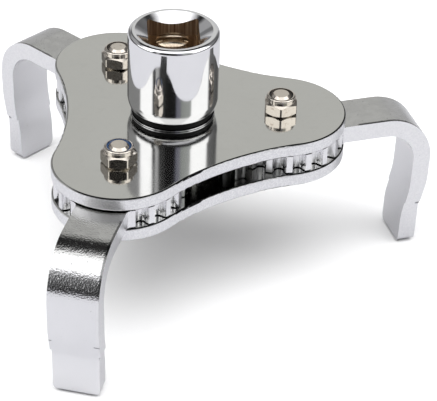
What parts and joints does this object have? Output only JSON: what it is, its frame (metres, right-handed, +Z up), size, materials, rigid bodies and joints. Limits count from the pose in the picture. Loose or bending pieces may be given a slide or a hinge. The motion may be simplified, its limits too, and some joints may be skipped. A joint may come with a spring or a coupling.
{
  "type": "oil filter wrench",
  "caption": "Geared self-adjusting oil filter wrench: bent jaws swing out from between two lobed plates as a central square-drive socket turns, and grip in both directions.",
  "frame": {"origin": "on the drive axis, in the plane of the jaw tips that the tool stands on", "axes": "+Z up along the drive axis to the square drive; +X towards the pivot of the right-hand leg"},
  "size_m": [0.1119, 0.1189, 0.0655],
  "materials": {
    "plate_chrome": "polished chrome plate, faint brushing under it",
    "socket_chrome": "bright polished chrome",
    "leg_chrome": "satin chrome over a slightly grainy rolled surface",
    "gear_steel": "plated steel with an oil film",
    "zinc_steel": "zinc plated, slightly warm",
    "spring_steel": "dark spring steel",
    "bushing_steel": "ground steel",
    "black_ring": "black moulded plastic",
    "blue_nylon": "blue nylon",
    "clear_nylon": "natural nylon"
  },
  "bodies": {
    "plates": {"top_plate": "plate_chrome", "bottom_plate": "plate_chrome", "pivot_bolt_right": "zinc_steel", "pivot_bolt_rear": "zinc_steel", "pivot_bolt_front": "zinc_steel", "lock_nut_right": "zinc_steel", "lock_nut_rear": "zinc_steel", "lock_nut_front": "zinc_steel", "nylon_insert_right": "clear_nylon", "nylon_insert_rear": "clear_nylon", "nylon_insert_front": "blue_nylon", "pivot_bushing_right": "bushing_steel", "pivot_bushing_rear": "bushing_steel", "pivot_bushing_front": "bushing_steel", "bolt_washer_right": "zinc_steel", "bolt_washer_rear": "zinc_steel", "bolt_washer_front": "zinc_steel"},
    "drive": {"drive_socket": "socket_chrome", "sun_gear": "gear_steel", "upper_washer": "zinc_steel", "thrust_ring": "black_ring", "hub_washer": "zinc_steel", "retaining_ring": "spring_steel"},
    "leg_right": {"leg_right": "leg_chrome"},
    "leg_rear": {"leg_rear": "leg_chrome"},
    "leg_front": {"leg_front": "leg_chrome"}
  },
  "joints": [
    {"name": "drive_turn", "type": "hinge", "parent": "plates", "child": "drive", "pos_m": [0, 0, 0.0365], "axis": [0, 0, 1], "range_deg": [-125, 162]},
    {"name": "leg_right_swing", "type": "hinge", "parent": "plates", "child": "leg_right", "pos_m": [0.027, 0, 0.0365], "axis": [0, 0, 1], "range_deg": [-122, 94]},
    {"name": "leg_rear_swing", "type": "hinge", "parent": "plates", "child": "leg_rear", "pos_m": [-0.0135, 0.02338, 0.0365], "axis": [0, 0, 1], "range_deg": [-122, 94]},
    {"name": "leg_front_swing", "type": "hinge", "parent": "plates", "child": "leg_front", "pos_m": [-0.0135, -0.02338, 0.0365], "axis": [0, 0, 1], "range_deg": [-122, 94]}
  ],
  "couplings": [
    {"joint": "leg_right_swing", "follows": "drive_turn", "ratio": -0.75},
    {"joint": "leg_rear_swing", "follows": "drive_turn", "ratio": -0.75},
    {"joint": "leg_front_swing", "follows": "drive_turn", "ratio": -0.75}
  ]
}
